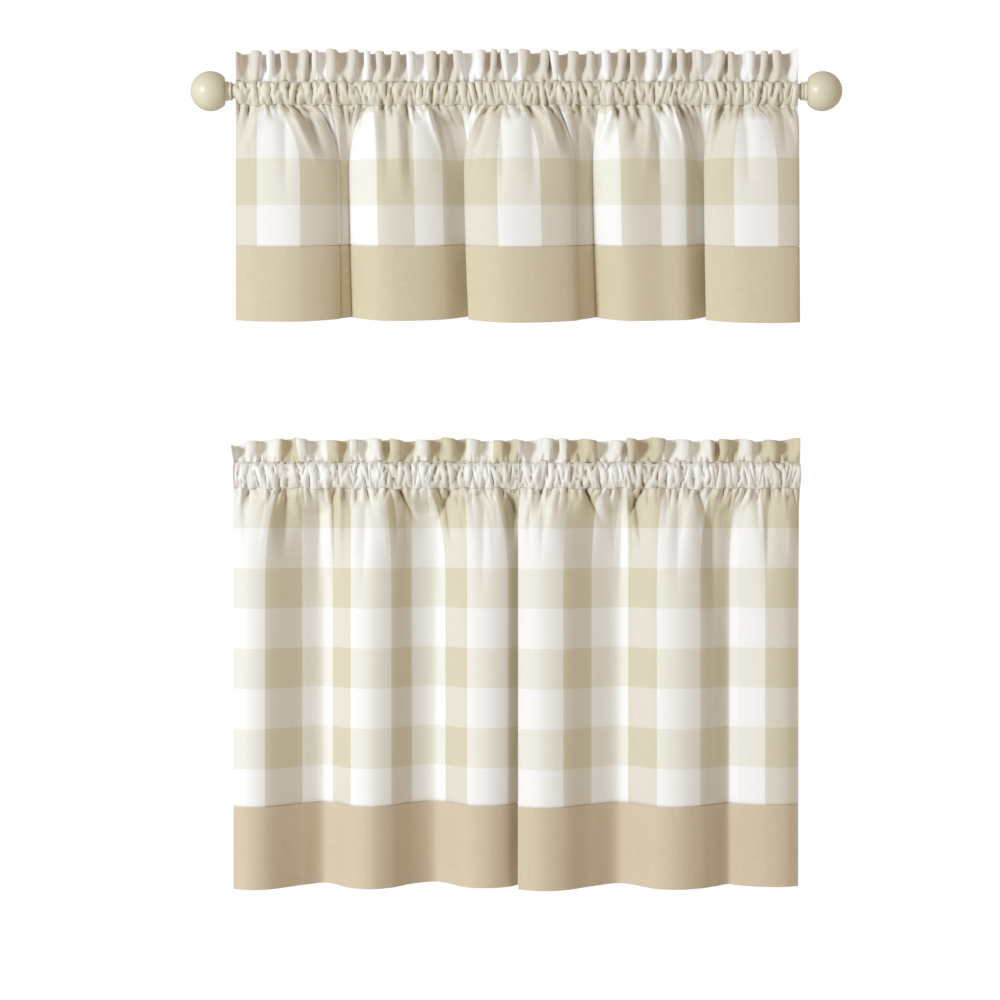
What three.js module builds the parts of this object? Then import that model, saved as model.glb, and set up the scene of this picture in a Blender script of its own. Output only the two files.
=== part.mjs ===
// Valance and tier curtain set on a rod.
//
// Three gathered curtains for one small window: a short valance on a round rod with ball finials,
// and below it a pair of tier curtains that hang edge to edge. Each curtain has a heading (a standing
// ruffle above a rod pocket), a panel of checked cloth, and a plain band along its lower edge.
//
// Millimetres. +X runs to the right, +Z up, and the front of the cloth faces -Y.
// The origin is the middle of the rod's axis.

import * as THREE from 'three';

// ---- Cloth -------------------------------------------------------------------------------------

const CLOTH = 1.2; // one layer of cotton cloth, with its crimp
const DOUBLED = 2.6; // two layers stitched together
const PIECE_GAP = 0.3; // clearance between neighbouring pieces
const SEAM_DROP = 0.55; // from a panel down to its band, which leaves PIECE_GAP where the seam slants

// ---- Rod and finials ---------------------------------------------------------------------------

const ROD_RADIUS = 10;
const ROD_HALF_LENGTH = 386;
const BALL_RADIUS = 26.9;
const BALL_CENTRE = 416; // from the middle of the rod
const BALL_FLAT = 20; // from the ball's centre to its flat, where the collar starts
const BALL_STEPS = 12;
const ROUND_SIDES = 28;

// Turned collar of a finial: a narrow rib, a groove and a wide rib, from the rod's end outward.
const COLLAR_PROFILE = [
  { along: 0, radius: 0 },
  { along: 0, radius: 11.6 },
  { along: 0.8, radius: 12.6 },
  { along: 3.0, radius: 12.6 },
  { along: 3.7, radius: 11.4 },
  { along: 4.6, radius: 11.4 },
  { along: 5.3, radius: 13.2 },
  { along: 8.8, radius: 13.2 },
  { along: 9.4, radius: 12.4 },
];

// ---- Rod pocket --------------------------------------------------------------------------------

// Half of a pocket's outline, from the upper stitching to the lower one. Heights are measured from the
// rod's axis, and the reaches from the middle plane of the rod. Puff is the share of the gathers' depth.
const POCKET_OUTLINE = [
  { innerHeight: 11.0, innerReach: 1.0, outerHeight: 12.2, outerReach: 1.3, puff: 0 },
  { innerHeight: 8.0, innerReach: 8.3, outerHeight: 9.0, outerReach: 9.5, puff: 0.6 },
  { innerHeight: 0.0, innerReach: 11.8, outerHeight: 0.0, outerReach: 13.0, puff: 1 },
  { innerHeight: -9.0, innerReach: 8.8, outerHeight: -9.6, outerReach: 10.0, puff: 0.8 },
  { innerHeight: -16.8, innerReach: 0.8, outerHeight: -19.0, outerReach: 1.3, puff: 0 },
];
const POCKET_DROP = 19; // of the outline above, from the rod's axis to the lower stitching

// ---- The three curtains ------------------------------------------------------------------------

// A row for each woven check across the cloth, left to right; a check that a fold divides has two.
// Gathered is the width that it takes up at the pocket and across its width at the lower edge, where
// forward is how far the cloth comes toward the room along it. A check that lies hidden in a fold runs
// back under its neighbour.
const VALANCE_CHECKS = [
  { weave: 'tan', gathered: 30, across: 29, forward: 12 },
  { weave: 'white', gathered: 24, across: 58, forward: 2 },
  { weave: 'tan', gathered: 50, across: 50, forward: -30 },
  { weave: 'white', gathered: 8, across: -6, forward: -22 },
  { weave: 'white', gathered: 9, across: 7, forward: 16 },
  { weave: 'tan', gathered: 48, across: 15, forward: -16 },
  { weave: 'white', gathered: 3, across: -2, forward: 5 },
  { weave: 'white', gathered: 12, across: 39, forward: 38 },
  { weave: 'tan', gathered: 47, across: 50, forward: 0 },
  { weave: 'white', gathered: 27, across: 38, forward: -14 },
  { weave: 'tan', gathered: 43, across: 37, forward: -36 },
  { weave: 'white', gathered: 30, across: -6, forward: 32 },
  { weave: 'tan', gathered: 4, across: -1, forward: 7 },
  { weave: 'tan', gathered: 26, across: 44, forward: 30 },
  { weave: 'white', gathered: 22, across: 58, forward: -2 },
  { weave: 'tan', gathered: 44, across: 46, forward: -22 },
  { weave: 'white', gathered: 5, across: -6, forward: -22 },
  { weave: 'white', gathered: 5, across: 7, forward: 16 },
  { weave: 'tan', gathered: 51, across: 28, forward: -30 },
  { weave: 'white', gathered: 3, across: -2, forward: 5 },
  { weave: 'white', gathered: 15, across: 36, forward: 38 },
  { weave: 'tan', gathered: 44, across: 54, forward: -4 },
  { weave: 'white', gathered: 35, across: 34, forward: -6 },
  { weave: 'tan', gathered: 35, across: 32, forward: -36 },
  { weave: 'white', gathered: 17, across: -5, forward: 30 },
  { weave: 'tan', gathered: 4, across: -1, forward: 7 },
  { weave: 'tan', gathered: 37, across: 38, forward: 26 },
  { weave: 'white', gathered: 23, across: 58, forward: 6 },
  { weave: 'tan', gathered: 42, across: 29, forward: -8 },
  { weave: 'white', gathered: 11, across: 1, forward: -4 },
];

const TIER_LEFT_CHECKS = [
  { weave: 'white', gathered: 30, across: 21, forward: 10 },
  { weave: 'white', gathered: 30, across: 22, forward: -2 },
  { weave: 'tan', gathered: 30, across: 48, forward: -36 },
  { weave: 'white', gathered: 25, across: 28, forward: -18 },
  { weave: 'white', gathered: 13, across: 14, forward: 8 },
  { weave: 'tan', gathered: 30, across: 26, forward: 32 },
  { weave: 'white', gathered: 23, across: 27, forward: 10 },
  { weave: 'white', gathered: 23, across: 28, forward: -12 },
  { weave: 'tan', gathered: 38, across: 27, forward: -30 },
  { weave: 'white', gathered: 16, across: 31, forward: -16 },
  { weave: 'white', gathered: 8, across: 16, forward: 10 },
  { weave: 'tan', gathered: 48, across: 30, forward: 34 },
  { weave: 'white', gathered: 19, across: 28, forward: 6 },
  { weave: 'white', gathered: 19, across: 27, forward: -10 },
  { weave: 'tan', gathered: 34, across: 14, forward: -16 },
];

const TIER_RIGHT_CHECKS = [
  { weave: 'white', gathered: 32, across: 31, forward: 12 },
  { weave: 'white', gathered: 31, across: 30, forward: -6 },
  { weave: 'tan', gathered: 41, across: 39, forward: -30 },
  { weave: 'white', gathered: 27, across: 37, forward: -24 },
  { weave: 'white', gathered: 11, across: 15, forward: 6 },
  { weave: 'tan', gathered: 46, across: 37, forward: 38 },
  { weave: 'white', gathered: 33, across: 30, forward: 6 },
  { weave: 'white', gathered: 32, across: 29, forward: -10 },
  { weave: 'tan', gathered: 16, across: 20, forward: -15 },
  { weave: 'tan', gathered: 17, across: 22, forward: -18 },
  { weave: 'white', gathered: 9, across: 14, forward: 10 },
  { weave: 'white', gathered: 21, across: 34, forward: 12 },
  { weave: 'tan', gathered: 31, across: 27, forward: 0 },
  { weave: 'tan', gathered: 21, across: 19, forward: -8 },
];

// Heights are measured from the valance rod's axis. Start is the depth of the cloth's left edge.
// Settle is the drop below the pocket over which the gathers open into the folds, and the share
// openAtPocket of the folds' depth is there from the start. Hem rise is how much the lower edge rises
// for each millimetre that a fold lies back, and drift how far the middle folds lean to the right.
const CURTAINS = [
  {
    name: 'valance',
    checks: VALANCE_CHECKS,
    left: -381,
    right: 382,
    start: 4,
    rodHeight: 0,
    ruffleTop: 56,
    pocketBottom: -19,
    bandTop: -210.5,
    hem: -311,
    settle: 95,
    openAtPocket: 0.6,
    hemRise: 0.2,
    drift: 7,
    rufflePitch: 31.8,
    ruffleDepth: 8,
    headingSteps: 48,
    panelRows: 4,
    bandRows: 1,
    check: 0xe3dac2,
  },
  {
    name: 'tier_left',
    checks: TIER_LEFT_CHECKS,
    left: -384,
    right: 2,
    start: 4,
    rodHeight: -517,
    ruffleTop: -472,
    pocketBottom: -540,
    bandTop: -972,
    hem: -1084,
    settle: 130,
    openAtPocket: 0.55,
    hemRise: 0.03,
    drift: 0,
    rufflePitch: 38.5,
    ruffleDepth: 8,
    headingSteps: 30,
    panelRows: 6,
    bandRows: 1,
    check: 0xe3d8c4,
  },
  {
    name: 'tier_right',
    checks: TIER_RIGHT_CHECKS,
    left: 2.6,
    right: 385,
    start: 10,
    rodHeight: -517,
    ruffleTop: -472,
    pocketBottom: -540,
    bandTop: -972,
    hem: -1084,
    settle: 130,
    openAtPocket: 0.55,
    hemRise: 0.03,
    drift: 0,
    rufflePitch: 38.1,
    ruffleDepth: 8,
    headingSteps: 30,
    panelRows: 6,
    bandRows: 1,
    check: 0xe3d8c4,
  },
];

const WIDE_CHECK = 28; // at the lower edge, from which a check is drawn with three facets across it
const NARROW_CHECK = 3; // below which it has one
const GATHER_DEPTH = 3.2; // how far the pocket's gathers puff out
const GATHER_SWAY = 3; // how far they sway the panel just under the pocket
const OPENING_POWER = 2.3; // how quickly the gathers open at first
const POCKET_EASE = 0.26; // share of settle over which the folds first come forward
const DEPTH_POWER = 0.45; // how the folds deepen below that
const ROW_POWER = 1.5; // crowds a panel's rows toward its top
const BAND_COLOUR = 0xc9b48c;
const ROD_COLOUR = 0xe2ddcb;

// ---- Shapes of the folds -----------------------------------------------------------------------

/** Eased step from 0 to 1 as a value goes from low to high. */
function ease(low, high, value) {
  const t = THREE.MathUtils.clamp((value - low) / (high - low), 0, 1);
  return t * t * (3 - 2 * t);
}

/** Plan of a curtain's lower edge: a smooth line through the corners of its checks. */
function foldLine(curtain) {
  const shown = curtain.checks.reduce((sum, check) => sum + check.across, 0);
  const stretch = (curtain.right - curtain.left) / shown;
  let x = curtain.left;
  let forward = curtain.start;
  const corners = [new THREE.Vector3(x, -forward, 0)];
  for (const check of curtain.checks) {
    x += check.across * stretch;
    forward += check.forward;
    corners.push(new THREE.Vector3(x, -forward, 0));
  }
  return new THREE.CatmullRomCurve3(corners, false, 'centripetal');
}

/** Number of facets across a check. */
function facetsOf(check) {
  const width = Math.abs(check.across);
  if (width < NARROW_CHECK) {
    return 1;
  }
  return width < WIDE_CHECK ? 2 : 3;
}

/** Shares of a curtain's width at which its cloth is drawn. */
function sharesOf(curtain) {
  const shares = [0];
  curtain.checks.forEach((check, i) => {
    const facets = facetsOf(check);
    for (let k = 1; k <= facets; k += 1) {
      shares.push((i + k / facets) / curtain.checks.length);
    }
  });
  return shares;
}

/** Where a share of the cloth's width lies along the pocket. */
function gatheredX(curtain, share) {
  const total = curtain.checks.reduce((sum, check) => sum + check.gathered, 0);
  const place = share * curtain.checks.length;
  const whole = Math.min(Math.floor(place), curtain.checks.length - 1);
  const before = curtain.checks.slice(0, whole).reduce((sum, check) => sum + check.gathered, 0);
  const along = before + (place - whole) * curtain.checks[whole].gathered;
  return THREE.MathUtils.lerp(curtain.left, curtain.right, along / total);
}

/** Small uneven gathers at the pocket: their depth for a share of the curtain's width. */
function gatherWave(curtain, share) {
  const width = curtain.right - curtain.left;
  const turns = (share * width) / curtain.rufflePitch;
  const uneven = 0.75 + 0.25 * Math.sin(turns * 2.7 + curtain.left);
  return uneven * Math.cos(turns * 2 * Math.PI);
}

/** Point of the cloth's middle surface, for a share across the cloth and a height on it. */
function clothPoint(curtain, line, share, height) {
  const fold = line.getPoint(share);
  const below = Math.max(curtain.pocketBottom - height, 0);
  const down = below / (curtain.pocketBottom - curtain.hem);
  const opened = 1 - (1 - Math.min(below / curtain.settle, 1)) ** OPENING_POWER;
  const atPocket = curtain.openAtPocket * ease(0, POCKET_EASE * curtain.settle, below);
  const depth = atPocket + (1 - curtain.openAtPocket) * down ** DEPTH_POWER;
  const gathers = GATHER_SWAY * gatherWave(curtain, share) * ease(0, 10, below) * (1 - opened);
  const drift = curtain.drift * Math.sin(Math.PI * share) * down ** 2;
  const x = THREE.MathUtils.lerp(gatheredX(curtain, share), fold.x, opened) + drift;
  const y = fold.y * depth + gathers;
  const z = height + curtain.hemRise * fold.y * down;
  return new THREE.Vector3(x, y, z);
}

// ---- Solids ------------------------------------------------------------------------------------

/** Indexed geometry with flat shading from points and triangles. */
function solidFrom(points, triangles) {
  const geometry = new THREE.BufferGeometry();
  geometry.setAttribute('position', new THREE.Float32BufferAttribute(points.flatMap((p) => p.toArray()), 3));
  geometry.setIndex(triangles.flat());
  geometry.computeVertexNormals();
  return geometry;
}

/** Closed sheet around a grid of middle points, grid[row][column], rows from the top down. */
function sheetSolid(grid, thickness) {
  const rows = grid.length;
  const columns = grid[0].length;
  const points = [];
  for (const side of [-0.5, 0.5]) {
    for (const row of grid) {
      row.forEach((point, i) => {
        const before = row[Math.max(i - 1, 0)];
        const after = row[Math.min(i + 1, columns - 1)];
        const along = new THREE.Vector2(after.x - before.x, after.y - before.y).normalize();
        const shift = side * thickness;
        points.push(new THREE.Vector3(point.x - along.y * shift, point.y + along.x * shift, point.z));
      });
    }
  }
  const front = (r, c) => r * columns + c;
  const back = (r, c) => rows * columns + r * columns + c;
  const triangles = [];
  const quad = (a, b, c, d) => triangles.push([a, b, c], [a, c, d]);
  for (let r = 0; r < rows - 1; r += 1) {
    for (let c = 0; c < columns - 1; c += 1) {
      quad(front(r, c), front(r + 1, c), front(r + 1, c + 1), front(r, c + 1));
      quad(back(r, c), back(r, c + 1), back(r + 1, c + 1), back(r + 1, c));
    }
    quad(front(r, 0), back(r, 0), back(r + 1, 0), front(r + 1, 0));
    quad(front(r, columns - 1), front(r + 1, columns - 1), back(r + 1, columns - 1), back(r, columns - 1));
  }
  for (let c = 0; c < columns - 1; c += 1) {
    quad(front(0, c), front(0, c + 1), back(0, c + 1), back(0, c));
    quad(front(rows - 1, c), back(rows - 1, c), back(rows - 1, c + 1), front(rows - 1, c + 1));
  }
  return solidFrom(points, triangles);
}

/** Panel or band of a curtain between two heights. */
function hangingCloth(curtain, top, bottom, rows) {
  const line = foldLine(curtain);
  const shares = sharesOf(curtain);
  const grid = [];
  for (let r = 0; r <= rows; r += 1) {
    const height = THREE.MathUtils.lerp(top, bottom, (r / rows) ** ROW_POWER);
    grid.push(shares.map((share) => clothPoint(curtain, line, share, height)));
  }
  return sheetSolid(grid, CLOTH);
}

/** Heading of a curtain: a doubled ruffle standing on a pocket with a tunnel through it. */
function heading(curtain) {
  const steps = curtain.headingSteps;
  const drop = (curtain.rodHeight - curtain.pocketBottom) / POCKET_DROP;
  const stitched = curtain.rodHeight + POCKET_OUTLINE[0].outerHeight;
  const sections = [];
  for (let i = 0; i <= steps; i += 1) {
    const share = i / steps;
    const x = THREE.MathUtils.lerp(curtain.left, curtain.right, share);
    const wave = gatherWave(curtain, share);
    const puff = GATHER_DEPTH * (0.5 + 0.5 * wave);
    const level = (height) => curtain.rodHeight + (height < 0 ? height * drop : height);
    const section = { ruffleFront: [], ruffleBack: [], front: [], back: [], innerFront: [], innerBack: [] };
    for (const rise of [1, 0.5]) {
      const lean = -curtain.ruffleDepth * wave * rise;
      const top = curtain.ruffleTop - 2.5 + 2.5 * Math.sin(share * 21 + curtain.left);
      const height = THREE.MathUtils.lerp(stitched, top, rise);
      section.ruffleFront.push(new THREE.Vector3(x, lean - DOUBLED / 2, height));
      section.ruffleBack.push(new THREE.Vector3(x, lean + DOUBLED / 2, height));
    }
    for (const spot of POCKET_OUTLINE) {
      const outer = spot.outerReach + puff * spot.puff;
      const inner = spot.innerReach + puff * spot.puff;
      section.front.push(new THREE.Vector3(x, -outer, level(spot.outerHeight)));
      section.back.push(new THREE.Vector3(x, outer, level(spot.outerHeight)));
      section.innerFront.push(new THREE.Vector3(x, -inner, level(spot.innerHeight)));
      section.innerBack.push(new THREE.Vector3(x, inner, level(spot.innerHeight)));
    }
    sections.push(section);
  }

  // The outer loop runs down the front and up the back, and the tunnel's loop does the same.
  const outerLoop = (s) => [...s.ruffleFront, ...s.front, ...s.back.toReversed(), ...s.ruffleBack.toReversed()];
  const innerLoop = (s) => [...s.innerFront, ...s.innerBack.toReversed()];
  const outerCount = outerLoop(sections[0]).length;
  const innerCount = innerLoop(sections[0]).length;
  const count = outerCount + innerCount;
  const points = sections.flatMap((s) => [...outerLoop(s), ...innerLoop(s)]);
  const outer = (i, k) => i * count + (k % outerCount);
  const inner = (i, k) => i * count + outerCount + (k % innerCount);
  const triangles = [];
  const quad = (a, b, c, d) => triangles.push([a, b, c], [a, c, d]);
  for (let i = 0; i < steps; i += 1) {
    for (let k = 0; k < outerCount; k += 1) {
      quad(outer(i, k), outer(i, k + 1), outer(i + 1, k + 1), outer(i + 1, k));
    }
    for (let k = 0; k < innerCount; k += 1) {
      quad(inner(i, k), inner(i + 1, k), inner(i + 1, k + 1), inner(i, k + 1));
    }
  }

  // Each end is closed around the tunnel, then across the doubled ruffle.
  const ruffleRows = sections[0].ruffleFront.length;
  for (const [i, turned] of [[0, false], [steps, true]]) {
    const face = (a, b, c, d) => (turned ? quad(d, c, b, a) : quad(a, b, c, d));
    for (let k = 0; k < innerCount - 1; k += 1) {
      face(outer(i, ruffleRows + k), inner(i, k), inner(i, k + 1), outer(i, ruffleRows + k + 1));
    }
    face(outer(i, outerCount - 1 - ruffleRows), inner(i, innerCount - 1), inner(i, 0), outer(i, ruffleRows));
    for (let k = 0; k < ruffleRows; k += 1) {
      const mirrored = outerCount - 1 - k;
      face(outer(i, k), outer(i, mirrored), outer(i, mirrored - 1), outer(i, k + 1));
    }
  }
  return solidFrom(points, triangles);
}

/** Ball finial with a ribbed collar, turned about its own axis; the collar's end lies at height 0. */
function finial() {
  const centre = BALL_CENTRE - ROD_HALF_LENGTH - PIECE_GAP;
  const flatAngle = Math.acos(BALL_FLAT / BALL_RADIUS);
  const profile = COLLAR_PROFILE.map((turn) => new THREE.Vector2(turn.radius, turn.along));
  for (let i = 0; i <= BALL_STEPS; i += 1) {
    const angle = THREE.MathUtils.lerp(flatAngle, Math.PI, i / BALL_STEPS);
    const radius = i === BALL_STEPS ? 0 : BALL_RADIUS * Math.sin(angle);
    profile.push(new THREE.Vector2(radius, centre - BALL_RADIUS * Math.cos(angle)));
  }
  return new THREE.LatheGeometry(profile, ROUND_SIDES);
}

// ---- Materials and assembly --------------------------------------------------------------------

const bandCloth = new THREE.MeshStandardMaterial({ color: BAND_COLOUR, roughness: 0.95, metalness: 0 });
const creamPaint = new THREE.MeshStandardMaterial({ color: ROD_COLOUR, roughness: 0.45, metalness: 0 });

const group = new THREE.Group();

function addPiece(name, geometry, material) {
  const mesh = new THREE.Mesh(geometry, material);
  mesh.name = name;
  group.add(mesh);
  return mesh;
}

const rod = addPiece(
  'rod',
  new THREE.CylinderGeometry(ROD_RADIUS, ROD_RADIUS, 2 * ROD_HALF_LENGTH, ROUND_SIDES),
  creamPaint,
);
rod.rotation.z = Math.PI / 2;

for (const [name, side] of [['finial_left', -1], ['finial_right', 1]]) {
  const piece = addPiece(name, finial(), creamPaint);
  piece.rotation.z = (-side * Math.PI) / 2;
  piece.position.x = side * (ROD_HALF_LENGTH + PIECE_GAP);
}

for (const curtain of CURTAINS) {
  const checkCloth = new THREE.MeshStandardMaterial({ color: curtain.check, roughness: 0.95, metalness: 0 });
  addPiece(`${curtain.name}_heading`, heading(curtain), checkCloth);
  addPiece(
    `${curtain.name}_panel`,
    hangingCloth(curtain, curtain.pocketBottom - PIECE_GAP, curtain.bandTop, curtain.panelRows),
    checkCloth,
  );
  addPiece(
    `${curtain.name}_band`,
    hangingCloth(curtain, curtain.bandTop - SEAM_DROP, curtain.hem, curtain.bandRows),
    bandCloth,
  );
}

export default group;
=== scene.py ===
"""Valance and tier curtain set: a gathered valance on a rod, and a pair of gathered tier curtains."""

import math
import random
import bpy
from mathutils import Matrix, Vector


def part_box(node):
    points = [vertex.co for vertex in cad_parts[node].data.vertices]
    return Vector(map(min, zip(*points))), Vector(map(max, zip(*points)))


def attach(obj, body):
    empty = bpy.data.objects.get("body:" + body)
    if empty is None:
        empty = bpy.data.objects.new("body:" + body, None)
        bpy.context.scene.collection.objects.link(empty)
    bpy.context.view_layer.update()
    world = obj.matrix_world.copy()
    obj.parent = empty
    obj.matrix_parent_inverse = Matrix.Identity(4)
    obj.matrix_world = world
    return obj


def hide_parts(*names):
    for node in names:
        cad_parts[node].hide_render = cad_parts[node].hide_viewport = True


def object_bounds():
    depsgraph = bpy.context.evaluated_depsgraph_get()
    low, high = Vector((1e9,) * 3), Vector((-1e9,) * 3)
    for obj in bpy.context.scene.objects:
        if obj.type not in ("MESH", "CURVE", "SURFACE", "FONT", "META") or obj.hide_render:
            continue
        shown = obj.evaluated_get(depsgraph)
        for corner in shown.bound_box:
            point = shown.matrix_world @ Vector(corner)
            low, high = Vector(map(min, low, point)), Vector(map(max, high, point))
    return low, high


bl_info = {
    "name": "Valance and Tier Curtain Set",
    "version": (1, 0, 0),
    "blender": (4, 5, 0),
    "location": "View3D > Sidebar > Curtains",
    "description": "Builds a gathered valance on a rod and a pair of tier curtains in checked cotton",
    "category": "Add Mesh",
}

import bpy
import numpy as np
from bpy.props import FloatProperty, FloatVectorProperty, IntProperty, PointerProperty
from mathutils import Vector

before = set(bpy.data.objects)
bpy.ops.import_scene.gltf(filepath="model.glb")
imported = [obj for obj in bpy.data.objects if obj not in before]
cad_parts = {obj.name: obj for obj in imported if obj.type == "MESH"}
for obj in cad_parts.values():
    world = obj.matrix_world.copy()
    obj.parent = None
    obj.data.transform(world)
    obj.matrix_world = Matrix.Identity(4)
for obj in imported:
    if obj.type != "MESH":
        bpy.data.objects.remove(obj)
CAD_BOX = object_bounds()
MM = 0.001


def table(columns, rows):
    """A table's rows as dicts, each value under the name of its column."""
    return [dict(zip(columns.split(), row)) for row in rows]


# ---- Tables of the folds ---------------------------------------------------------------------------

# A row for each woven check across the cloth, left to right, in millimetres. A check that a fold divides
# has two rows, and cloth is the share of the check in each. Gathered is the width that it takes up in the
# heading and across its width at the lower edge, where forward is how far the cloth comes toward the room
# along it. A check that lies hidden in a fold runs back under its neighbour.
VALANCE_CHECKS = table(
    "weave cloth gathered across forward",
    [
        ("tan", 0.55, 30, 29, 12),
        ("white", 1, 24, 58, 2),
        ("tan", 1, 50, 50, -30),
        ("white", 0.5, 8, -6, -22),
        ("white", 0.5, 9, 7, 16),
        ("tan", 1, 48, 15, -16),
        ("white", 0.1, 3, -2, 5),
        ("white", 0.9, 12, 39, 38),
        ("tan", 1, 47, 50, 0),
        ("white", 1, 27, 38, -14),
        ("tan", 1, 43, 37, -36),
        ("white", 1, 30, -6, 32),
        ("tan", 0.14, 4, -1, 7),
        ("tan", 0.86, 26, 44, 30),
        ("white", 1, 22, 58, -2),
        ("tan", 1, 44, 46, -22),
        ("white", 0.5, 5, -6, -22),
        ("white", 0.5, 5, 7, 16),
        ("tan", 1, 51, 28, -30),
        ("white", 0.1, 3, -2, 5),
        ("white", 0.9, 15, 36, 38),
        ("tan", 1, 44, 54, -4),
        ("white", 1, 35, 34, -6),
        ("tan", 1, 35, 32, -36),
        ("white", 1, 17, -5, 30),
        ("tan", 0.14, 4, -1, 7),
        ("tan", 0.86, 37, 38, 26),
        ("white", 1, 23, 58, 6),
        ("tan", 1, 42, 29, -8),
        ("white", 0.3, 11, 1, -4),
    ],
)

TIER_LEFT_CHECKS = table(
    "weave cloth gathered across forward",
    [
        ("white", 0.5, 30, 21, 10),
        ("white", 0.5, 30, 22, -2),
        ("tan", 1, 30, 48, -36),
        ("white", 0.65, 25, 28, -18),
        ("white", 0.35, 13, 14, 8),
        ("tan", 1, 30, 26, 32),
        ("white", 0.5, 23, 27, 10),
        ("white", 0.5, 23, 28, -12),
        ("tan", 1, 38, 27, -30),
        ("white", 0.65, 16, 31, -16),
        ("white", 0.35, 8, 16, 10),
        ("tan", 1, 48, 30, 34),
        ("white", 0.5, 19, 28, 6),
        ("white", 0.5, 19, 27, -10),
        ("tan", 1, 34, 14, -16),
    ],
)

TIER_RIGHT_CHECKS = table(
    "weave cloth gathered across forward",
    [
        ("white", 0.5, 32, 31, 12),
        ("white", 0.5, 31, 30, -6),
        ("tan", 1, 41, 39, -30),
        ("white", 0.7, 27, 37, -24),
        ("white", 0.3, 11, 15, 6),
        ("tan", 1, 46, 37, 38),
        ("white", 0.5, 33, 30, 6),
        ("white", 0.5, 32, 29, -10),
        ("tan", 0.5, 16, 20, -15),
        ("tan", 0.5, 17, 22, -18),
        ("white", 0.3, 9, 14, 10),
        ("white", 0.7, 21, 34, 12),
        ("tan", 0.6, 31, 27, 0),
        ("tan", 0.4, 21, 19, -8),
    ],
)

# Longer folds that run down from the pocket: from a place x and down from the lower stitching to
# another, in millimetres, how far they stand forward (a crease goes back), and half their width.
VALANCE_FOLDS = table(
    "x down to_x to_down rise width",
    [
        (-362, 0, -377, 61, -4.5, 7.5),
        (-346, -2, -368, 64, 4.5, 7.5),
        (-316, 0, -315, 136, -3.5, 9),
        (-309, -2, -267, 86, 7.5, 6.5),
        (-290, 0, -259, 76, -5, 7.5),
        (-248, 0, -244, 136, -3.5, 6.5),
        (-234, 0, -232, 116, -3.5, 6.5),
        (-216, -2, -226, 54, 6, 5),
        (-205, 0, -221, 42, -5, 7.5),
        (-180, 0, -177, 122, -3.5, 7.5),
        (-161, -2, -156, 129, 4.5, 7.5),
        (-150, 0, -145, 129, -3.5, 6.5),
        (-126, -8, -100, 72, 8, 5),
        (-109, 0, -88, 116, -5, 12.5),
        (-52, -2, -67, 61, 6, 5),
        (-40, 0, -54, 56, -5, 7.5),
        (-31, -4, -59, 95, 5, 7.5),
        (-22, 0, -21, 129, -3.5, 7.5),
        (18, 0, 22, 129, -3.5, 9),
        (37, -2, 61, 72, 7, 6.5),
        (55, 0, 71, 75, -4.5, 7.5),
        (84, 0, 84, 122, -3.5, 6.5),
        (95, 4, 111, 56, 4.5, 6.5),
        (131, 4, 112, 61, 6.5, 5),
        (141, 0, 123, 61, -4, 7.5),
        (169, 0, 152, 64, -5, 7.5),
        (182, 0, 175, 102, 4.5, 7.5),
        (195, 0, 192, 116, -3.5, 6.5),
        (209, -8, 240, 75, 8, 5),
        (231, 0, 250, 116, -5, 12.5),
        (273, -2, 259, 64, 6, 5),
        (282, 0, 267, 50, -5, 7.5),
        (300, 0, 286, 95, 4, 7.5),
        (309, 0, 311, 129, -3.5, 9),
        (357, -2, 365, 75, -3.5, 7.5),
    ],
)

TIER_LEFT_FOLDS = table(
    "x down to_x to_down rise width",
    [
        (-358, -35, -371, 23, -7, 7),
        (-368, -22, -379, 44, 5, 5.5),
        (-353, -32, -335, 6, 5, 5.5),
        (-313, -30, -318, 98, -11.5, 11),
        (-304, -27, -293, 71, 4.5, 7),
        (-270, -24, -273, 152, -6, 9.5),
        (-226, -36, -260, 30, -9, 4.5),
        (-251, -6, -252, 160, -9, 4.5),
        (-241, -4, -243, 140, 5, 6),
        (-237, -24, -246, 152, 5, 7),
        (-205, 3, -210, 152, -5, 9.5),
        (-190, -22, -176, 98, 4, 8),
        (-178, -36, -138, 46, -13, 4.5),
        (-158, -35, -134, 44, 5.5, 7),
        (-108, -33, -103, 152, -5, 7),
        (-73, -36, -109, 46, -13, 4.5),
        (-99, 10, -90, 84, -10, 5.5),
        (-69, -27, -82, 71, 5, 8),
        (-44, -11, -47, 152, -5, 9.5),
        (-25, -27, 1, 19, 6.5, 5.5),
        (-3, -16, -4, 74, -11.5, 6),
        (-32, -44, 6, 52, -12, 4.5),
    ],
)

TIER_RIGHT_FOLDS = table(
    "x down to_x to_down rise width",
    [
        (28, -30, 9, 57, 6.5, 5.5),
        (40, -22, 25, 44, -6.5, 5.5),
        (56, -24, 43, 64, 4.5, 7),
        (73, -36, 116, 46, -13, 4.5),
        (97, -35, 130, 54, 5.5, 7),
        (145, 5, 142, 152, -5, 7),
        (190, -36, 150, 46, -13, 4.5),
        (161, 10, 169, 84, -10, 5.5),
        (195, -27, 179, 71, 5, 8),
        (220, -11, 217, 152, -5, 9.5),
        (236, -33, 264, 62, -10.5, 7),
        (263, 3, 271, 207, -8.5, 12.5),
        (301, -30, 293, 57, 5.5, 5.5),
        (327, -19, 331, 71, -6, 7),
        (345, -19, 339, 152, -5, 7),
        (366, -14, 372, 98, 3.5, 8),
    ],
)

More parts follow.
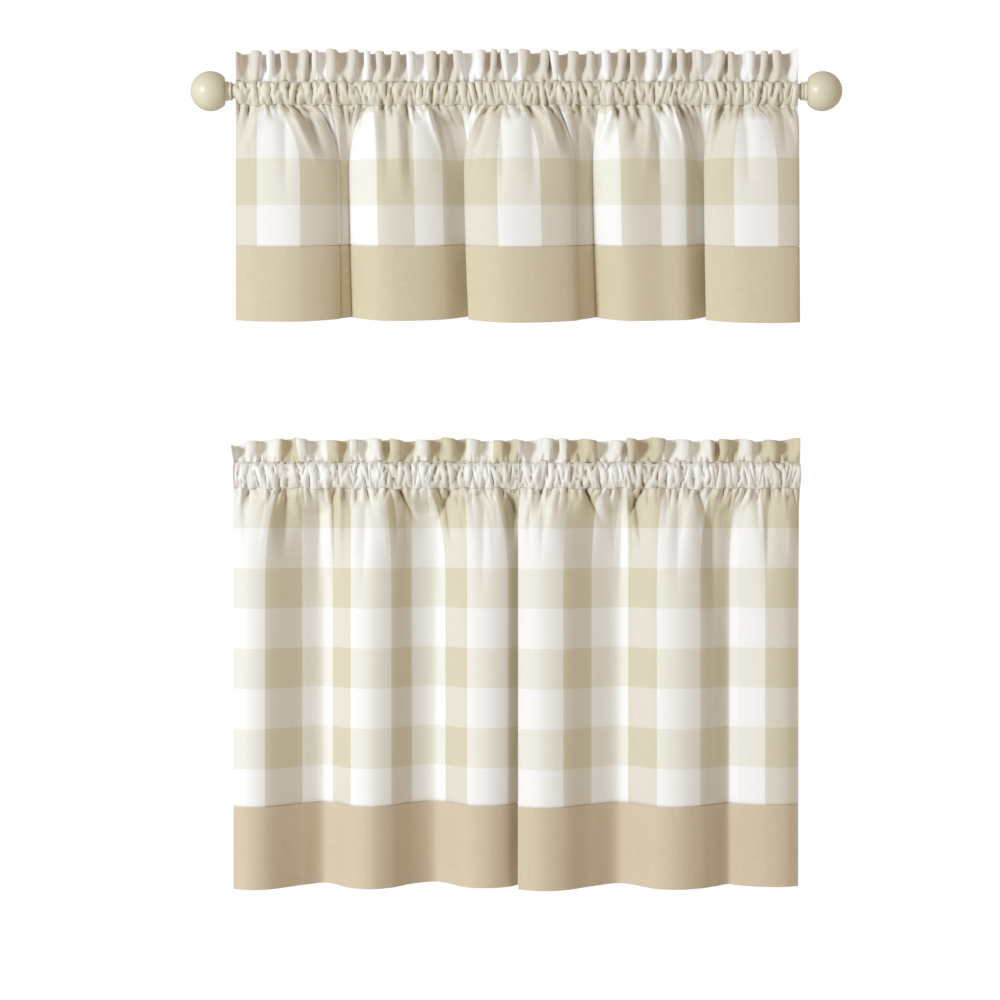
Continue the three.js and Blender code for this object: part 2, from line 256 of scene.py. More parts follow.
# Start is the depth of the cloth's left edge. Ruffle stripe is the number of the woven row at the
# ruffle, counted from the first tan row below it, and odd rows are white. Flare is how far the ruffle's
# left corner turns out.
TIER_CLOTH = dict(
    first_stripe=1, ruffle_stripe=0, pocket_cloth=54.4, hem_rise=0.03, drift=0, settle=130,
    open_at_pocket=0.55, ruffle_pitch=33,
)
CURTAINS = {
    "valance": dict(
        checks=VALANCE_CHECKS, folds=VALANCE_FOLDS, start=4, first_stripe=0.45, ruffle_stripe=-1,
        pocket_cloth=51.6, hem_rise=0.2, drift=7, settle=95, open_at_pocket=0.6,
        ruffle_pitch=22, flare=0, seed=11,
    ),
    "tier_left": dict(checks=TIER_LEFT_CHECKS, folds=TIER_LEFT_FOLDS, start=4, flare=3, seed=23, **TIER_CLOTH),
    "tier_right": dict(
        checks=TIER_RIGHT_CHECKS, folds=TIER_RIGHT_FOLDS, start=10, flare=0, seed=37, **TIER_CLOTH
    ),
}

# Half of a rod pocket's outline from the lower stitching to the upper one, in millimetres from the
# rod's axis. Heights below the axis stretch to where the lower stitching is.
POCKET_OUTLINE = table(
    "height reach",
    [
        (-19.0, 1.3),
        (-15.0, 5.4),
        (-9.6, 10.6),
        (-3.0, 13.0),
        (3.5, 12.8),
        (8.6, 9.8),
        (11.2, 5.2),
        (12.2, 1.3),
    ],
)
POCKET_DROP = 19.0

# Small puckers and creases that the gathering makes, in rows along a line of stitching: the part that they
# lie on, the stitching that they start from, which way they run (1 up, -1 down), and the ranges of their
# spacing, length, lean, rise and half width in millimetres. A crease sinks, so its rise is less than 0.
# They start to fade at the share fade of their length.
PUCKERS = table(
    "part foot way spacing length lean rise width fade",
    [
        ("pocket", "lower", 1, (8, 15), (30, 36), 8, (2.0, 4.6), (3.4, 5.8), 0.86),
        ("pocket", "lower", 1, (7, 15), (9, 20), 6, (2.4, 4.8), (2.4, 4.2), 0.45),
        ("pocket", "upper", -1, (7, 15), (9, 20), 6, (2.4, 4.8), (2.4, 4.2), 0.45),
        ("pocket", "lower", 1, (8, 18), (14, 36), 10, (-5.5, -2.5), (1.3, 2.2), 0.6),
        ("pocket", "upper", -1, (8, 18), (14, 36), 10, (-5.5, -2.5), (1.3, 2.2), 0.6),
        ("panel", "lower", -1, (7, 16), (9, 34), 8, (2.4, 5.2), (3.2, 6.4), 0.3),
        ("panel", "lower", -1, (8, 20), (8, 40), 8, (-5.0, -2.2), (1.5, 3.0), 0.3),
        ("panel", "lower", -1, (16, 34), (50, 130), 9, (1.0, 2.4), (6, 11), 0.4),
        ("ruffle", "upper", 1, (7, 15), (7, 24), 5, (1.6, 3.6), (2.4, 4.6), 0.3),
        ("ruffle", "upper", 1, (8, 18), (6, 20), 5, (-4.0, -1.8), (1.3, 2.4), 0.3),
    ],
)

# Turned collar of a finial, in millimetres from the rod's end outward: a narrow rib, a groove and a wide
# rib, each with rounded corners.
COLLAR_PROFILE = table(
    "along radius",
    [
        (0.0, 10.4), (0.0, 11.2), (0.35, 12.0), (1.0, 12.5), (1.9, 12.65), (2.7, 12.5), (3.3, 12.0),
        (3.8, 11.45), (4.2, 11.3), (4.6, 11.45), (5.0, 12.2), (5.6, 12.95), (6.4, 13.2), (7.6, 13.2),
        (8.4, 13.0), (9.0, 12.5), (9.4, 12.3), (9.8, 12.6),
    ],
)

OPENING_POWER = 2.3  # how quickly the gathers open at first
POCKET_EASE = 0.26  # share of settle over which the folds first come forward
DEPTH_POWER = 0.45  # how the folds deepen below that
SEAM_DROP = 0.3 * MM  # from one piece of a curtain down to the next
BALL_FLAT = 0.7435  # share of the ball's radius at which the collar meets it
BALL_STEPS = 32
BALL_POLE = 0.02  # angle left open at the far pole, closed by a small flat

# Steps across each check, and rows down the piece.
HEADING_STEPS = dict(valance=26, tier=30)
PANEL_STEPS = dict(valance=(20, 64), tier=(25, 96))
BAND_STEPS = dict(valance=(20, 18), tier=(25, 18))

# The share by which the stripes even out at the pocket, and the painted shade on the ruffle: how much more of
# the warp it shows, which deepens its upright stripes.
POCKET_TONES = dict(valance=(0.85, 0.0), tier=(0.5, 0.1))

AIM_RIGHT, AIM_UP = -0.0224, -0.0417  # from the middle of the set to what the camera looks at
KEY_OFFSET = (-4.4, -4.4, 0.9)  # from there to the key light
KEY_SIZE = 1.8
BACKDROP = 1.02  # brightness of the white behind the set


# ---- Settings --------------------------------------------------------------------------------------


def size(name, text, default, low=0.0, high=3.0):
    return FloatProperty(
        name=name, description=text, default=default, min=low, max=high, unit="LENGTH", precision=4
    )


def height(name, text, default):
    return size(name, text, default, -3, 3)


def linear(hex_colour):
    """sRGB hex to linear red, green and blue."""
    values = [int(hex_colour[i : i + 2], 16) / 255 for i in (1, 3, 5)]
    return tuple(v / 12.92 if v <= 0.04045 else ((v + 0.055) / 1.055) ** 2.4 for v in values)


def colour(name, text, hex_colour):
    return FloatVectorProperty(
        name=name, description=text, default=linear(hex_colour), size=3, min=0, max=1, subtype="COLOR"
    )


class ValanceSettings(bpy.types.PropertyGroup):
    check: size("Check", "Side of one woven check", 0.0626)
    rod_height: height("Rod height", "Height of the rod's axis", 0.0)
    lower_stitching: height("Lower stitching", "Height of the pocket's lower stitching", -0.019)
    ruffle_top: height("Ruffle top", "Height of the ruffle's upper edge", 0.056)
    band_top: height("Band top", "Height of the seam between panel and band", -0.2105)
    hem: height("Hem", "Height of the lower edge", -0.311)


class TierSettings(bpy.types.PropertyGroup):
    check: size("Check", "Side of one woven check", 0.0544)
    rod_height: height("Rod height", "Height of the middle of the pocket", -0.517)
    lower_stitching: height("Lower stitching", "Height of the pocket's lower stitching", -0.540)
    ruffle_top: height("Ruffle top", "Height of the ruffle's upper edge", -0.472)
    band_top: height("Band top", "Height of the seam between panel and band", -0.972)
    hem: height("Hem", "Height of the lower edge", -1.084)


class ClothSettings(bpy.types.PropertyGroup):
    thickness: size("Cloth thickness", "Thickness of one layer of cloth", 0.9 * MM)
    ruffle_depth: size("Ruffle depth", "How far the ruffle's folds sway each way", 10.5 * MM)
    thread: size("Thread spacing", "Spacing of the threads that the weave shows", 1.6 * MM)
    white: colour("White yarn", "Colour of the white yarn", "#f9f9fb")
    tan_warp: colour("Tan warp", "Colour of the tan yarn that runs down the cloth", "#cec3a6")
    tan_weft: colour("Tan weft", "Colour of the tan yarn that runs across the cloth", "#e6e2cf")
    valance_band: colour("Valance band", "Colour of the valance's plain band", "#d9ceb4")
    tier_band: colour("Tier band", "Colour of the tiers' plain bands", "#d6c7b0")


class RodSettings(bpy.types.PropertyGroup):
    paint: colour("Paint", "Cream paint of the rod and its finials", "#e3deca")
    sides: IntProperty(
        name="Sides", description="Steps around the rod and the finials", default=72, min=16, max=256
    )


class StageSettings(bpy.types.PropertyGroup):
    lens: FloatProperty(
        name="Lens", description="Focal length of the camera", default=90, min=20, max=300, unit="CAMERA"
    )
    distance: size("Distance", "From the camera to the rod", 3.4, 1, 20)
    floor_height: height("Floor height", "Height of the floor, from the rod's axis", -2.1)
    key_power: FloatProperty(
        name="Key power", description="Power of the key light", default=248, min=0, max=5000, unit="POWER"
    )
    key_colour: colour("Key colour", "Colour of the key light", "#eef8ff")
    fill_colour: colour("Fill colour", "Colour of the light from all around, a little warm", "#ffefdb")
    fill: FloatProperty(
        name="Fill", description="Brightness of the light from all around", default=0.48, min=0, max=5
    )


class CurtainSetSettings(bpy.types.PropertyGroup):
    valance: PointerProperty(type=ValanceSettings, name="Valance", description="Sizes of the valance")
    tiers: PointerProperty(type=TierSettings, name="Tiers", description="Sizes of the tier curtains")
    cloth: PointerProperty(type=ClothSettings, name="Cloth", description="Cloth and its colours")
    rod: PointerProperty(type=RodSettings, name="Rod", description="Rod and finials")
    stage: PointerProperty(type=StageSettings, name="Stage", description="Camera, floor and lights")


# ---- Materials -------------------------------------------------------------------------------------


def add_node(tree, kind, settings, *values, **named):
    """Adds a node with its settings. Values set or link its inputs in order, and named ones by name. A node
    given as a value stands for its first output."""
    node = tree.nodes.new(kind)
    for key, value in settings.items():
        setattr(node, key, value)
    sockets = [socket for socket in node.inputs if socket.enabled]
    pairs = list(zip(sockets, values))
    for key, value in named.items():
        pairs.append((next(socket for socket in sockets if socket.name == key.replace("_", " ")), value))
    for socket, value in pairs:
        if isinstance(value, bpy.types.Node):
            value = next(output for output in value.outputs if output.enabled)
        if isinstance(value, bpy.types.NodeSocket):
            tree.links.new(value, socket)
        else:
            socket.default_value = value
    return node


def calc(tree, operation, *values, **settings):
    """Adds a math node."""
    return add_node(tree, "ShaderNodeMath", dict(operation=operation, **settings), *values)


def new_material(name):
    """Material with a bare surface shader, its tree and that shader."""
    material = bpy.data.materials.new(name)
    material.use_nodes = True
    tree = material.node_tree
    tree.nodes.clear()
    shader = add_node(tree, "ShaderNodeBsdfPrincipled", {})
    add_node(tree, "ShaderNodeOutputMaterial", {}, Surface=shader)
    return material, tree, shader


def rgba(values):
    return (*values, 1.0)


def tint(tree, shader, paint, value):
    """Colours a surface, its brightness set by a node."""
    toned = add_node(tree, "ShaderNodeHueSaturation", {}, Value=value, Color=rgba(paint))
    tree.links.new(toned.outputs[0], shader.inputs["Base Color"])


def weave(tree, thread):
    """Plain weave: how far across and down the cloth, the threads as they cross (-1 to 1), and slubs, the
    thicker lengths of yarn. The yarn lies about 0.5 mm apart, too fine to show, so it is drawn coarser."""
    flat = add_node(tree, "ShaderNodeUVMap", dict(uv_map="Flat"))
    across_and_down = add_node(tree, "ShaderNodeSeparateXYZ", {}, flat)
    across, down = across_and_down.outputs["X"], across_and_down.outputs["Y"]
    turn = math.pi / thread
    threads = []
    for place in (across, down):
        phase = calc(tree, "MULTIPLY", place, turn)
        threads.append(calc(tree, "SINE", phase))
    crossing = calc(tree, "MULTIPLY", *threads)
    slubs = []
    # Slubs are about 1.5 mm wide and 30 mm long, along the warp and along the weft.
    for scale in ((620, 34, 1), (30, 560, 1)):
        place = add_node(tree, "ShaderNodeMapping", {}, Vector=flat.outputs["UV"], Scale=scale)
        flat_noise = dict(noise_dimensions="2D")
        slubs.append(add_node(tree, "ShaderNodeTexNoise", flat_noise, Vector=place, Scale=1.0))
    uneven = calc(tree, "ADD", *slubs)
    return across, down, crossing, uneven


def cotton_finish(tree, shader, crossing, uneven):
    """Cotton yarn is matt with a short fuzz that catches light at grazing angles. The threads and slubs
    stand up a little."""
    shader.inputs["Roughness"].default_value = 0.92
    shader.inputs["IOR"].default_value = 1.47
    shader.inputs["Specular IOR Level"].default_value = 0.25
    shader.inputs["Sheen Weight"].default_value = 0.12
    shader.inputs["Sheen Roughness"].default_value = 0.55
    slub_height = calc(tree, "MULTIPLY", uneven, 0.5)
    relief = calc(tree, "MULTIPLY_ADD", crossing, 0.4, slub_height)
    bump = add_node(tree, "ShaderNodeBump", {}, Strength=0.22, Distance=0.35 * MM, Height=relief)
    tree.links.new(bump.outputs["Normal"], shader.inputs["Normal"])


def yarn_dyed_check(name, check, cloth, pocket, evened, ruffle_shade):
    """Cotton yarn-dyed buffalo check, plain woven: dyed warp and weft cross in blocks of white, half tone
    and full tan, and the crossing threads give the half tones a fine pepper. Pocket holds how far down
    the cloth the rod pocket starts and ends, evened is the share by which the warp's stripes even out there,
    where the cloth is packed tight, and the ruffle shade is how much more of the warp shows on the ruffle
    above it, a painted shade that deepens its upright stripes. Creases get a painted shade, darker and warmer."""
    material, tree, shader = new_material(name)
    across, down, crossing, uneven = weave(tree, cloth.thread)

    def stripe(position):
        """1 inside the tan stripes and 0 inside the white ones, with edges two threads wide."""
        phase = calc(tree, "MULTIPLY", position, math.pi / check)
        wave = calc(tree, "SINE", phase)
        return calc(tree, "MULTIPLY_ADD", wave, 26.0, 0.5, use_clamp=True)

    start, end = pocket
    warp_stripe = stripe(across)
    if evened:
        smooth = dict(interpolation_type="SMOOTHSTEP")
        into = add_node(tree, "ShaderNodeMapRange", smooth, down, start - 6 * MM, start + 3 * MM)
        out = add_node(tree, "ShaderNodeMapRange", smooth, down, end + 6 * MM, end + 16 * MM)
        packed = calc(tree, "SUBTRACT", into, out)
        packed = calc(tree, "MULTIPLY", packed, evened)
        warp_stripe = add_node(tree, "ShaderNodeMix", {}, Factor=packed, A=warp_stripe, B=0.27)
    yarns = []
    for tan, place in ((cloth.tan_warp, warp_stripe), (cloth.tan_weft, stripe(down))):
        mix = dict(data_type="RGBA")
        yarns.append(add_node(tree, "ShaderNodeMix", mix, Factor=place, A=rgba(cloth.white), B=rgba(tan)))
    warp, weft = yarns
    # Painted shade: the ruffle is doubled, so less light comes through it, and its upright stripes are painted
    # deeper for that.
    ruffle_edge = (start - 3 * MM, start + 1 * MM)
    doubled = add_node(tree, "ShaderNodeMapRange", {}, down, *ruffle_edge, 0.5 + ruffle_shade, 0.5)
    on_top = calc(tree, "MULTIPLY_ADD", crossing, 0.13, doubled)
    woven = add_node(tree, "ShaderNodeMix", dict(data_type="RGBA"), Factor=on_top, A=weft, B=warp)
    value = calc(tree, "MULTIPLY_ADD", uneven, 0.05, 0.95)
    toned = add_node(tree, "ShaderNodeHueSaturation", {}, Value=value, Color=woven)
    # Painted shade: the colour is darkened and warmed toward a brown where the cloth lies in a crease, by how
    # deep the crease is.
    crease_shade = add_node(tree, "ShaderNodeAttribute", dict(attribute_name="PaintedCreaseShade"))
    multiply = dict(data_type="RGBA", blend_type="MULTIPLY")
    crease_shade_colour = rgba(linear("#a89878"))
    shaded = add_node(tree, "ShaderNodeMix", multiply, Factor=crease_shade.outputs["Fac"], A=toned, B=crease_shade_colour)
    tree.links.new(shaded.outputs[2], shader.inputs["Base Color"])
    cotton_finish(tree, shader, crossing, uneven)
    return material


def heathered_band(name, band, cloth):
    """Cotton canvas for the band, woven from one tan yarn and a paler one, which gives it a fine heather."""
    material, tree, shader = new_material(name)
    *_, crossing, uneven = weave(tree, cloth.thread)
    heather = calc(tree, "MULTIPLY_ADD", uneven, 0.10, 0.90)
    tone = calc(tree, "MULTIPLY_ADD", crossing, 0.03, heather)
    tint(tree, shader, band, tone)
    cotton_finish(tree, shader, crossing, uneven)
    return material


def sprayed_cream_enamel(name, paint, roughness):
    """Cream enamel sprayed over a smooth ground: satin, with a faint unevenness of the film."""
    material, tree, shader = new_material(name)
    place = add_node(tree, "ShaderNodeTexCoord", {})
    film = add_node(tree, "ShaderNodeTexNoise", {}, Vector=place.outputs["Object"], Scale=140.0, Detail=3.0)
    value = calc(tree, "MULTIPLY_ADD", film, 0.05, 0.975)
    tint(tree, shader, paint, value)
    rough = calc(tree, "MULTIPLY_ADD", film, 0.12, roughness - 0.06)
    tree.links.new(rough.outputs[0], shader.inputs["Roughness"])
    shader.inputs["Coat Weight"].default_value = 0.15
    shader.inputs["Coat Roughness"].default_value = 0.25
    bump = add_node(tree, "ShaderNodeBump", {}, Strength=0.08, Distance=0.2 * MM, Height=film)
    tree.links.new(bump.outputs["Normal"], shader.inputs["Normal"])
    return material


def matt_floor_paint():
    """Emulsion rolled on a studio floor: matt and very slightly mottled."""
    material, tree, shader = new_material("rolled matt emulsion")
    place = add_node(tree, "ShaderNodeTexCoord", {})
    mottle = add_node(tree, "ShaderNodeTexNoise", {}, Vector=place.outputs["Object"], Scale=3.0)
    value = calc(tree, "MULTIPLY_ADD", mottle, 0.02, 0.98)
    tint(tree, shader, linear("#f4f3f0"), value)
    shader.inputs["Roughness"].default_value = 0.9
    return material


# ---- Meshes ----------------------------------------------------------------------------------------


def new_piece(name, mesh, material, replaced):
    piece = bpy.data.objects.new(name, mesh)
    bpy.context.scene.collection.objects.link(piece)
    piece.data.materials.append(material)
    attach(piece, "root")
    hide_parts(replaced)
    return piece


def crease_shade_mask(depth, reach):
    """How far each point of a grid of depths lies behind the points around it, from 0 to 1 at 2 mm: the share
    of painted crease shade it gets.
    """
    total = np.zeros_like(depth)
    rows, columns = depth.shape
    padded = np.pad(depth, ((1, 1), (reach, reach)), mode="edge")
    for row in range(3):
        for column in range(2 * reach + 1):
            total += padded[row : row + rows, column : column + columns]
    return np.clip((depth - total / (3 * (2 * reach + 1))) / (2 * MM), 0, 1)


def sheet_mesh(name, middle, flat, thickness, crease_shade_share, turned_in=None, tucked=None):
    """Closed sheet of cloth around a grid of middle points[row, column]. Flat holds the cloth's own
    coordinates, the crease shade share how much painted shade each point gets for lying in a crease,
    turned_in how much thicker its back is, and tucked how far each row is pressed back."""
    rows, columns = middle.shape[:2]
    along = np.gradient(middle, axis=0)
    across = np.gradient(middle, axis=1)
    normal = np.cross(along, across)
    normal /= np.linalg.norm(normal, axis=2, keepdims=True) + 1e-12
    if tucked is not None:
        middle = middle - normal * tucked[:, None, None]
    back = thickness / 2 + (0 if turned_in is None else turned_in[..., None])
    faced, backed = middle + normal * thickness / 2, middle - normal * back
    points = np.concatenate([faced.reshape(-1, 3), backed.reshape(-1, 3)])
    index = np.arange(rows * columns).reshape(rows, columns)
    a, b, c, d = (g.ravel() for g in (index[:-1, :-1], index[1:, :-1], index[1:, 1:], index[:-1, 1:]))
    under = rows * columns
    faces = [np.stack([a, b, c, d], 1), np.stack([a, d, c, b], 1) + under]
    for line, way in ((index[:, 0], 1), (index[:, -1], -1), (index[0, :], -1), (index[-1, :], 1)):
        p, q = (line[:-1], line[1:]) if way == 1 else (line[1:], line[:-1])
        faces.append(np.stack([q, p, p + under, q + under], 1))
    faces = np.concatenate(faces)
    mesh = bpy.data.meshes.new(name)
    mesh.from_pydata(points.tolist(), [], faces.tolist())
    mesh.validate()
    mesh.polygons.foreach_set("use_smooth", np.ones(len(mesh.polygons), dtype=bool))
    layer = mesh.uv_layers.new(name="Flat")
    corners = np.empty(len(mesh.loops), dtype=np.int64)
    mesh.loops.foreach_get("vertex_index", corners)
    layer.data.foreach_set("uv", np.tile(flat.reshape(-1, 2), (2, 1))[corners].ravel())
    # The share of painted crease shade at each point, which the cloth's material reads.
    crease_shade = mesh.attributes.new("PaintedCreaseShade", "FLOAT", "POINT")
    crease_shade.data.foreach_set("value", np.tile(crease_shade_share.ravel(), 2))
    mesh.set_sharp_from_angle(angle=math.radians(75))
    mesh.update()
    return mesh


def turned_mesh(name, profile, sides, axis_start, way):
    """Solid turned about a line along X: profile rows are (along, radius)."""
    points, faces = [], []
    for along, radius in profile:
        for k in range(sides):
            turn = 2 * math.pi * k / sides
            points.append((axis_start + way * along, radius * math.cos(turn), radius * math.sin(turn)))
    for i in range(len(profile) - 1):
        for k in range(sides):
            a, b = i * sides + k, i * sides + (k + 1) % sides
            face = (a, b, b + sides, a + sides)
            faces.append(face if way > 0 else face[::-1])
    first, last = tuple(range(sides)), tuple(range(len(points) - sides, len(points)))
    faces += [first[::-1], last] if way > 0 else [first, last[::-1]]
    mesh = bpy.data.meshes.new(name)
    mesh.from_pydata(points, [], faces)
    mesh.validate()
    mesh.polygons.foreach_set("use_smooth", np.ones(len(mesh.polygons), dtype=bool))
    mesh.set_sharp_from_angle(angle=math.radians(40))
    return mesh


# ---- Shape of the cloth ----------------------------------------------------------------------------


def ease(low, high, value):
    """Eased step from 0 to 1 as a value goes from low to high."""
    t = np.clip((value - low) / (high - low), 0, 1)
    return t * t * (3 - 2 * t)


def smooth_line(corners, share):
    """Points of a centripetal curve through the corners, one even share for each of its parts."""
    corners = np.asarray(corners, dtype=float)
    ends = np.vstack([2 * corners[0] - corners[1], corners, 2 * corners[-1] - corners[-2]])
    parts = len(corners) - 1
    place = np.clip(share, 0, 1) * parts
    part = np.minimum(place.astype(int), parts - 1)
    t = (place - part)[..., None]
    p0, p1, p2, p3 = (ends[part + k] for k in range(4))
    pairs = ((p0, p1), (p1, p2), (p2, p3))
    d0, d1, d2 = (np.maximum(np.sum((q - p) ** 2, -1, keepdims=True), 1e-12) ** 0.25 for p, q in pairs)
    m1 = ((p1 - p0) / d0 - (p2 - p0) / (d0 + d1) + (p2 - p1) / d1) * d1
    m2 = ((p2 - p1) / d1 - (p3 - p1) / (d1 + d2) + (p3 - p2) / d2) * d1
    return p1 + m1 * t + (3 * (p2 - p1) - 2 * m1 - m2) * t**2 + (2 * (p1 - p2) + m1 + m2) * t**3


def uneven_folds(x, left, right, pitch, seed, jitter=0.24):
    """A row of folds of uneven width: their phase in turns, and the strength of each."""
    rng = random.Random(seed)
    count = max(2, round((right - left) / pitch))
    step = (right - left) / count
    moved = [rng.uniform(-jitter, jitter) if 0 < k < count else 0 for k in range(count + 1)]
    edges = [left + (k + move) * step for k, move in enumerate(moved)]
    strengths = [rng.uniform(0.65, 1.2) for _ in edges]
    return np.interp(x, edges, range(count + 1)), np.interp(x, edges, strengths)


def pucker_relief(puckers, x, height):
    """How far the highest pucker stands up at each point, less the depth of the deepest crease."""
    highest = np.zeros(np.broadcast(x, height).shape)
    deepest = np.zeros_like(highest)
    for pucker in puckers:
        t = (height - pucker["foot"]) / pucker["run"]
        width = pucker["width"] * (1 + 0.7 * np.clip(t, 0, 1))
        away = np.abs(x - pucker["x"] - pucker["lean"] * t) / width
        along = pucker["rise"] * ease(-0.06, 0.1, t) * (1 - ease(pucker["fade"], 1.0, t))
        if pucker["rise"] > 0:
            highest = np.maximum(highest, along * np.clip(1 - away**2, 0, 1) ** 0.8)
        else:
            deepest = np.minimum(deepest, along * np.exp(-away))
    return highest + deepest


def fold_relief(folds, x, height):
    """How far the longer folds stand forward at each point, added up."""
    total = np.zeros(np.broadcast(x, height).shape)
    for fold in folds:
        t = (height - fold["height"]) / fold["run"]
        away = np.abs(x - fold["x"] - fold["lean"] * t) / fold["width"]
        total += fold["rise"] * ease(-0.1, 0.1, t) * (1 - ease(0.3, 1.1, t)) * np.exp(-(away**1.5))
    return total


class Curtain:
    """One curtain's sizes, and the shape in which its cloth hangs. Heights are along Z."""

    def __init__(self, name, sizes, cloth):
        row = CURTAINS[name]
        self.name, self.cloth, self.check = name, cloth, sizes.check
        self.kind = "valance" if name == "valance" else "tier"
        low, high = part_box(f"{name}_heading")
        self.left, self.right = low[0], high[0]
        self.rod, self.lower, self.top = sizes.rod_height, sizes.lower_stitching, sizes.ruffle_top
        self.upper = self.rod + POCKET_OUTLINE[-1]["height"] * MM
        self.band_top, self.hem = sizes.band_top, sizes.hem
        self.checks, self.seed, self.flare = row["checks"], row["seed"], row["flare"] * MM
        self.settle, self.open_at_pocket = row["settle"] * MM, row["open_at_pocket"]
        self.hem_rise, self.drift = row["hem_rise"], row["drift"] * MM
        self.pocket_cloth, self.ruffle_pitch = row["pocket_cloth"] * MM, row["ruffle_pitch"] * MM
        # Cloth coordinates: stripes are one check wide, and even stripes are tan.
        woven = np.concatenate([[0], np.cumsum([c["cloth"] for c in self.checks])])
        self.stripe_edges = (row["first_stripe"] + woven) * self.check
        self.flat_width = float(woven[-1]) * self.check
        self.row_shift = (row["ruffle_stripe"] + 1) * self.check
        gathered = np.concatenate([[0], np.cumsum([c["gathered"] for c in self.checks])])
        self.heading_edges = self.left + (self.right - self.left) * gathered / gathered[-1]
        shown = sum(c["across"] for c in self.checks) * MM
        stretch = (self.right - self.left) / shown
        x, forward = self.left, row["start"] * MM
        self.corners = [(x, -forward)]
        for c in self.checks:
            x += c["across"] * MM * stretch
            forward += c["forward"] * MM
            self.corners.append((x, -forward))
        self.puckers = {part: self.scatter(part) for part in ("pocket", "panel", "ruffle")}
        self.pocket_back_puckers = self.scatter("pocket", 100)
        self.folds = [
            dict(
                x=f["x"] * MM,
                lean=(f["to_x"] - f["x"]) * MM,
                height=self.lower - f["down"] * MM,
                run=(f["down"] - f["to_down"]) * MM,
                rise=f["rise"] * MM,
                width=f["width"] * MM,
            )
            for f in row["folds"]
        ]

    def scatter(self, part, salt=0):
        """The puckers of one part, placed from the ranges in the table."""
        rng = random.Random(self.seed + len(part) + salt)
        feet = dict(upper=self.upper, lower=self.lower)
        puckers = []
        for group in (g for g in PUCKERS if g["part"] == part):
            x = self.left + rng.uniform(-3, 6) * MM
            while x < self.right:
                puckers.append(
                    dict(
                        x=x,
                        lean=rng.uniform(-group["lean"], group["lean"]) * MM,
                        foot=feet[group["foot"]],
                        run=group["way"] * rng.uniform(*group["length"]) * MM,
                        rise=rng.uniform(*group["rise"]) * MM,
                        width=rng.uniform(*group["width"]) * MM,
                        fade=group["fade"],
                    )
                )
                x += rng.uniform(*group["spacing"]) * MM
        return puckers

    def flat_across(self, share):
        return np.interp(share * len(self.checks), range(len(self.checks) + 1), self.stripe_edges)

    def heading_x(self, share):
        return np.interp(share * len(self.checks), range(len(self.checks) + 1), self.heading_edges)

    def stitch_wave(self, x, salt):
        """How far a line of stitching wanders back and up where the cloth is pulled together."""
        turns, strength = uneven_folds(x, self.left, self.right, 15 * MM, self.seed + salt, 0.36)
        back = 1.5 * MM * strength * np.sin(2 * np.pi * turns)
        turns, strength = uneven_folds(x, self.left, self.right, 27 * MM, self.seed + salt + 1, 0.36)
        return back, 1.4 * MM * strength * np.sin(2 * np.pi * turns)

    def hanging(self, share, height):
        """Middle surface of the panel and the band, and the length of cloth that puckers take up."""
        fold = smooth_line(self.corners, share)
        below = np.maximum(self.lower - height, 1e-9)
        down = below / (self.lower - self.hem)
        opened = 1 - (1 - np.clip(below / self.settle, 0, 1)) ** OPENING_POWER
        at_pocket = self.open_at_pocket * ease(0, POCKET_EASE * self.settle, below)
        depth = at_pocket + (1 - self.open_at_pocket) * down**DEPTH_POWER
        gathered = self.heading_x(share)
        x = gathered * (1 - opened) + fold[..., 0] * opened + self.drift * np.sin(np.pi * share) * down**2
        back, up = self.stitch_wave(gathered, 40)
        fade = 1 - ease(0, 0.03, below)
        puckers = pucker_relief(self.puckers["panel"], gathered, height)
        forward = puckers + fold_relief(self.folds, x, height) * ease(-0.004, 0.006, below)
        y = fold[..., 1] * depth + back * fade - forward
        z = height + self.hem_rise * fold[..., 1] * down + up * fade
        taken_up = 1.5 * np.maximum(puckers, 0) * (1 - ease(0, 0.05, below))
        return np.stack(np.broadcast_arrays(x, y, z), -1), taken_up

    def hanging_piece(self, piece, top, bottom, steps, rows, material, slot):
        share = np.linspace(0, 1, steps * len(self.checks) + 1)[None, :]
        # Rows lie closer together toward the top, where the puckers are.
        height = top + (bottom - top) * np.linspace(0, 1, rows + 1) ** (1.35 if piece == "panel" else 1)
        tucked = np.zeros_like(height)
        if piece == "panel":
            # The seam's allowance is pressed back and lies behind the band.
            allowance = np.array([1.2, 0.7, 0.2, -0.4, -2.5, -5.0]) * MM
            height = np.concatenate([height[:-1], bottom + allowance])
            tucked = 1.6 * MM * ease(-1.2 * MM, -0.2 * MM, bottom - height)
        height = height[:, None]
        middle, taken_up = self.hanging(share, height)
        down = self.row_shift + self.pocket_cloth + (self.lower - height) + taken_up
        flat = np.stack(np.broadcast_arrays(self.flat_across(share), down), -1)
        edge = np.minimum(share, 1 - share) * self.flat_width
        hem = self.cloth.thickness * (1 - ease(0.012, 0.0135, edge)) * np.ones_like(height)
        name = f"{self.name}_{piece}"
        # Painted shade: the colour is darkened in creases, by how far the cloth lies behind its neighbours.
        crease_shade_share = 0.8 * crease_shade_mask(middle[..., 1], 2)
        mesh = sheet_mesh(name, middle, flat, self.cloth.thickness, crease_shade_share, hem, tucked)
        return new_piece(f"{name}_cloth", mesh, material, name)

